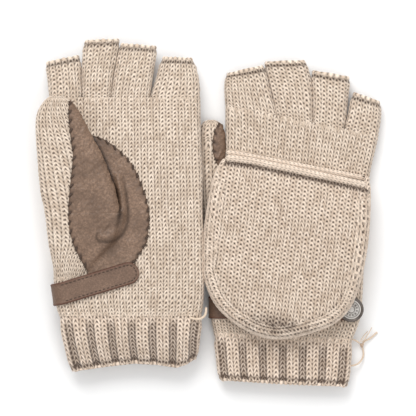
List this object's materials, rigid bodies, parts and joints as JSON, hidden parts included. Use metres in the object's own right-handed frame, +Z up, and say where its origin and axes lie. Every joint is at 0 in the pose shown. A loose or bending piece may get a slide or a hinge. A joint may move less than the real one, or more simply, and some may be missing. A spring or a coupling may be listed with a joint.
{
  "type": "convertible flip-top mittens",
  "caption": "Pair of knitted fingerless gloves with flip-top mitten pockets, leather palm and thumb pieces, ribbed cuffs and a snap strap; one lies palm up, the other back up",
  "frame": {"origin": "under the middle of the pair as it lies, on the table", "axes": "+Z up from the table, +Y towards the fingertips, +X from the left-hand mitten to the right-hand one"},
  "size_m": [0.2328, 0.2349, 0.0334],
  "materials": {
    "knit": "marled cream and brown stocking stitch, soft and matt",
    "flip_knit": "marled cream and brown stocking stitch, soft and matt",
    "rib_knit": "marled rib, matt",
    "yarn": "loosely spun yarn, fuzzy",
    "thread": "dark waxed thread",
    "hide": "fine pebble grain, satin",
    "strap_hide": "smooth, satin, with darker edges",
    "snap_metal": "pewter coloured, embossed",
    "snap_dark_metal": "darkened metal"
  },
  "bodies": {
    "left_hand": {"left_flip_seam_yarn": "yarn", "left_hand_body": "knit", "left_index_stall": "knit", "left_little_stall": "knit", "left_loose_yarn": "yarn", "left_middle_stall": "knit", "left_palm_leather": "hide", "left_palm_whip_stitches": "thread", "left_ribbed_cuff": "rib_knit", "left_ring_stall": "knit", "left_snap_stud": "snap_dark_metal", "left_strap": "strap_hide", "left_strap_stitches": "thread", "left_thumb_leather": "hide", "left_thumb_stall": "knit", "left_thumb_whip_stitches": "thread"},
    "left_flip": {"left_flip_back_layer": "flip_knit"},
    "left_flip_front": {"left_flip_front_layer": "flip_knit", "left_flip_hem": "rib_knit"},
    "left_tab": {"left_strap_tab": "strap_hide", "left_snap_cap": "snap_metal", "left_snap_rim": "snap_dark_metal", "left_snap_socket": "snap_dark_metal"},
    "right_hand": {"right_flip_seam_yarn": "yarn", "right_hand_body": "knit", "right_index_stall": "knit", "right_little_stall": "knit", "right_middle_stall": "knit", "right_palm_leather": "hide", "right_palm_whip_stitches": "thread", "right_ribbed_cuff": "rib_knit", "right_ring_stall": "knit", "right_snap_stud": "snap_dark_metal", "right_strap": "strap_hide", "right_strap_stitches": "thread", "right_thumb_leather": "hide", "right_thumb_stall": "knit", "right_thumb_whip_stitches": "thread", "right_tie_knot": "yarn", "right_tie_return": "yarn", "right_tie_yarn": "yarn", "right_yarn_end_long": "yarn", "right_yarn_end_short": "yarn"},
    "right_flip": {"right_flip_back_layer": "flip_knit"},
    "right_flip_front": {"right_flip_front_layer": "flip_knit", "right_flip_hem": "rib_knit"},
    "right_tab": {"right_strap_tab": "strap_hide", "right_snap_cap": "snap_metal", "right_snap_rim": "snap_dark_metal", "right_snap_socket": "snap_dark_metal"}
  },
  "joints": [
    {"name": "left_flip_hinge", "type": "hinge", "parent": "left_hand", "child": "left_flip", "pos_m": [-0.054, 0.04901, 0.00863], "axis": [1, 0, 0], "range_deg": [0, 176.5], "deforming": ["left_flip_front_layer", "left_flip_hem"]},
    {"name": "right_flip_hinge", "type": "hinge", "parent": "right_hand", "child": "right_flip", "pos_m": [0.0605, 0.0299, 0.0131], "axis": [-0.9925, 0.1219, 0], "range_deg": [0, 177.3], "deforming": ["right_flip_front_layer", "right_flip_hem"]},
    {"name": "left_flip_spread", "type": "slide", "parent": "left_flip", "child": "left_flip_front", "axis": [0, 0, -1], "range_m": [0, 0.005]},
    {"name": "right_flip_spread", "type": "slide", "parent": "right_flip", "child": "right_flip_front", "axis": [0.0057, 0.0468, 0.9989], "range_m": [0, 0.005]},
    {"name": "left_strap_swing", "type": "hinge", "parent": "left_hand", "child": "left_tab", "pos_m": [-0.09096, -0.05453, 0.01381], "axis": [0.0371, 0.9982, -0.0471], "range_deg": [0, 105.9]},
    {"name": "right_strap_swing", "type": "hinge", "parent": "right_hand", "child": "right_tab", "pos_m": [0.0153, -0.065, 0.0128], "axis": [-0.0148, -0.9999, 0], "range_deg": [0, 106.38]},
    {"name": "right_mitten_slide", "type": "slide", "parent": "left_hand", "child": "right_hand", "axis": [1, 0, 0], "range_m": [0, 0.15]}
  ],
  "couplings": [
    {"joint": "left_flip_spread", "follows": "left_flip_hinge", "m_per_rad": 0.0016231},
    {"joint": "right_flip_spread", "follows": "right_flip_hinge", "m_per_rad": 0.0016158},
    {"joint": "left_strap_swing", "follows": "left_flip_hinge", "ratio": 0.6},
    {"joint": "right_strap_swing", "follows": "right_flip_hinge", "ratio": 0.6}
  ]
}
